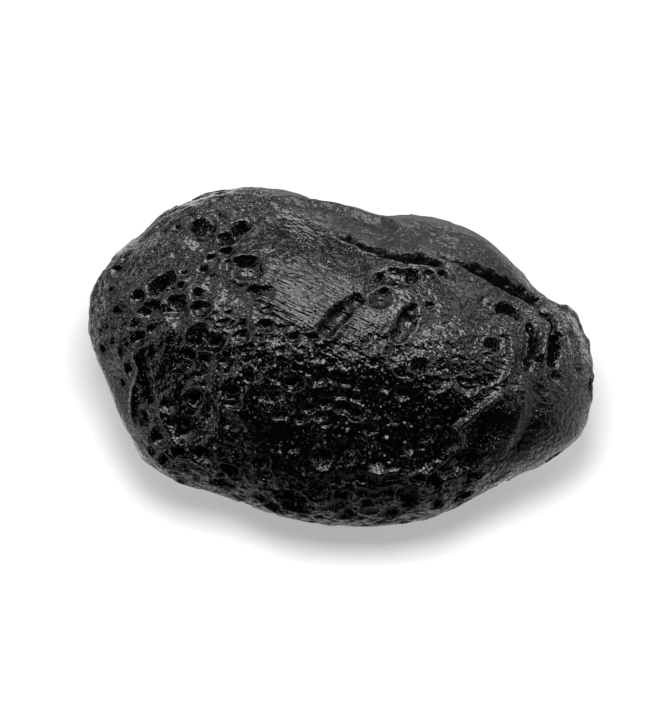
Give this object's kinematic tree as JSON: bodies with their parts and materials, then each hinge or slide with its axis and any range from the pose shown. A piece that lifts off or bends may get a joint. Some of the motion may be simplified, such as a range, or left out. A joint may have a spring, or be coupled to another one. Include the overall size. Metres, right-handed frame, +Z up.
{
  "type": "tektite",
  "caption": "Black natural-glass tektite: a rounded lump with bubble pits, flow grooves and ridges, lying on a small worn flat.",
  "frame": {"origin": "under the middle of the stone's box, at the level of the worn flat it lies on", "axes": "+X along the stone towards its nose, +Z up from the surface it lies on, -Y towards the show face's lower edge"},
  "size_m": [0.0505, 0.0363, 0.0265],
  "materials": {
    "black_glass": "weathered black natural glass, dull satin, gritty in its pits"
  },
  "bodies": {
    "root": {"tektite": "black_glass"}
  },
  "joints": []
}
